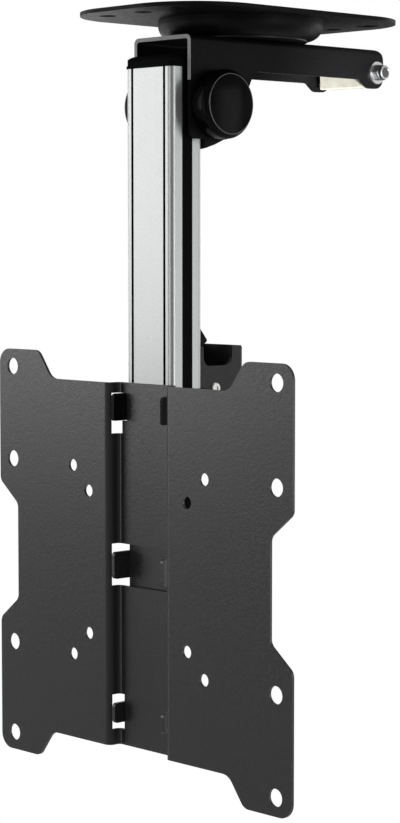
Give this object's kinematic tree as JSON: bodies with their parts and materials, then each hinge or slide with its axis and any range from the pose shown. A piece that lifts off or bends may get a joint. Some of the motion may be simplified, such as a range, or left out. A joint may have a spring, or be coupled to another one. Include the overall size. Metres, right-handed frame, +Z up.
{
  "type": "flip-down television ceiling mount",
  "caption": "Folding ceiling bracket: a round-cornered ceiling plate, a swivelling arm, a hinged aluminium column and a hook-on plate for a flat screen.",
  "frame": {"origin": "middle of the ceiling plate's top face, on the swivel axis", "axes": "+Z up along the swivel axis, -Y towards the viewer of the screen, +X to the right as seen from in front of the screen plate"},
  "size_m": [0.222, 0.1733, 0.393],
  "materials": {
    "black_steel": "black powder coat, fine texture",
    "charcoal_steel": "charcoal powder coat, fine texture",
    "silver_aluminium": "natural anodised, fine lengthwise grain",
    "black_plastic": "moulded, satin",
    "cream_nylon": "moulded, matt",
    "zinc_steel": "bright zinc plated",
    "dark_zinc": "dark zinc plated"
  },
  "bodies": {
    "ceiling": {"ceiling_plate": "black_steel", "swivel_bolt": "zinc_steel", "swivel_top_washer": "zinc_steel", "swivel_disc": "black_plastic", "swivel_low_washer": "zinc_steel", "swivel_nut": "zinc_steel", "swivel_stop_pin": "zinc_steel"},
    "arm": {"arm_channel": "black_steel", "hinge_bolt": "zinc_steel", "hinge_nut": "zinc_steel", "hinge_washer_left": "zinc_steel", "hinge_washer_right": "zinc_steel", "friction_washer_left": "cream_nylon", "friction_washer_right": "cream_nylon", "hinge_spacer": "zinc_steel", "cap_left": "black_plastic", "cap_right": "black_plastic", "end_bolt": "zinc_steel", "end_washer_left": "zinc_steel", "end_washer_right": "zinc_steel", "end_lock_nut": "zinc_steel", "catch_block": "cream_nylon"},
    "column": {"column": "silver_aluminium", "column_head_cap": "black_plastic", "side_strip_left": "black_plastic", "side_strip_right": "black_plastic", "hinge_saddle": "black_steel", "saddle_screw_1": "zinc_steel", "saddle_screw_2": "zinc_steel", "saddle_screw_3": "zinc_steel", "saddle_screw_4": "zinc_steel", "upper_strap": "black_steel", "foot_bracket": "black_steel", "foot_screw_1": "zinc_steel", "foot_screw_2": "zinc_steel", "latch_housing": "black_steel", "housing_screw_1": "zinc_steel", "housing_screw_2": "zinc_steel", "latch_pin_upper": "zinc_steel", "latch_pin_lower": "zinc_steel", "latch_spring": "zinc_steel", "tv_plate": "charcoal_steel"},
    "latch": {"latch_slide": "black_steel"}
  },
  "joints": [
    {"name": "swivel", "type": "hinge", "parent": "ceiling", "child": "arm", "pos_m": [0, 0, 0], "axis": [0, 0, 1], "range_deg": [-45, 45]},
    {"name": "fold", "type": "hinge", "parent": "arm", "child": "column", "pos_m": [0, -0.0375, -0.0477], "axis": [1, 0, 0], "range_deg": [0, 90]},
    {"name": "latch", "type": "slide", "parent": "column", "child": "latch", "axis": [0, 0, 1], "range_m": [0, 0.008], "stiffness_N_per_m": 400, "springref_m": -0.004, "deforming": ["latch_spring"]}
  ]
}
